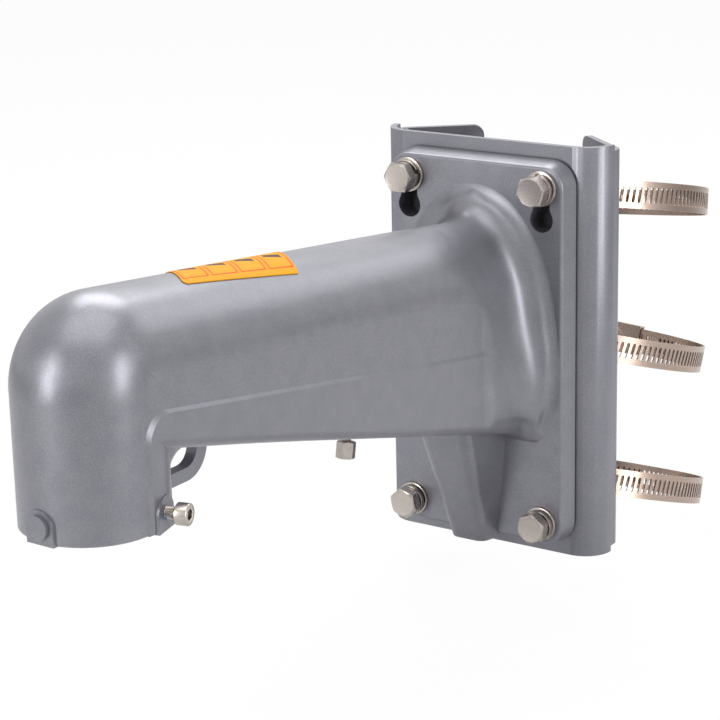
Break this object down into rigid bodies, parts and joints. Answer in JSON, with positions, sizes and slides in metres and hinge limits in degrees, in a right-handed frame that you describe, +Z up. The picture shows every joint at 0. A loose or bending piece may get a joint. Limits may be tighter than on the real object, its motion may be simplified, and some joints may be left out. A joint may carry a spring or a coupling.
{
  "type": "camera pole mount bracket",
  "caption": "Cast camera arm with a round threaded neck and cable passage, bolted to a folded sheet adapter that worm-drive bands strap to a pole.",
  "frame": {"origin": "middle of the plane through the two lip edges on which the pole seats, at half the adapter's height", "axes": "+Y towards the pole, -Y along the arm towards the neck, +Z up, +X to the right seen from the pole's side of a viewer facing the neck"},
  "size_m": [0.1412, 0.4637, 0.2113],
  "materials": {
    "cast_paint": "satin grey paint with fine metal flake on cast aluminium",
    "sheet_paint": "satin grey paint with fine metal flake on steel sheet",
    "black_rubber": "matt",
    "bolt_steel": "bright stainless steel",
    "screw_steel": "bright stainless steel",
    "band_steel": "rolled stainless strip",
    "label_film": "amber film with plain fields"
  },
  "bodies": {
    "bracket": {"arm_casting": "cast_paint", "pole_adapter": "sheet_paint", "plate_gasket": "black_rubber", "hex_bolts": "bolt_steel", "flat_washers": "bolt_steel", "spring_washers": "bolt_steel", "adapter_nuts": "bolt_steel", "amber_label": "label_film", "clamp_band_top": "band_steel", "clamp_band_middle": "band_steel", "clamp_band_bottom": "band_steel", "clamp_housing_top": "band_steel", "clamp_housing_middle": "band_steel", "clamp_housing_bottom": "band_steel"},
    "worm_top": {"worm_screw_top": "screw_steel"},
    "worm_middle": {"worm_screw_middle": "screw_steel"},
    "worm_bottom": {"worm_screw_bottom": "screw_steel"},
    "lock_screw": {"neck_lock_screw": "screw_steel"},
    "earth_terminal": {"earth_screw": "screw_steel"}
  },
  "joints": [
    {"name": "worm_turn_top", "type": "hinge", "parent": "bracket", "child": "worm_top", "pos_m": [-0.02536, 0.09483, 0.03861], "axis": [0.9312, 0.3643, -0.0161], "continuous": true},
    {"name": "worm_turn_middle", "type": "hinge", "parent": "bracket", "child": "worm_middle", "pos_m": [0.00047, 0.10095, -0.03363], "axis": [0.9981, -0.0335, -0.0512], "continuous": true},
    {"name": "worm_turn_bottom", "type": "hinge", "parent": "bracket", "child": "worm_bottom", "pos_m": [-0.02225, 0.09582, -0.10728], "axis": [0.9526, 0.2929, -0.082], "continuous": true},
    {"name": "lock_screw_slide", "type": "slide", "parent": "bracket", "child": "lock_screw", "axis": [-0.9703, -0.2419, 0], "range_m": [0, 0.0043]},
    {"name": "earth_screw_slide", "type": "slide", "parent": "bracket", "child": "earth_terminal", "axis": [0, 0.1736, 0.9848], "range_m": [0, 0.0045]}
  ]
}
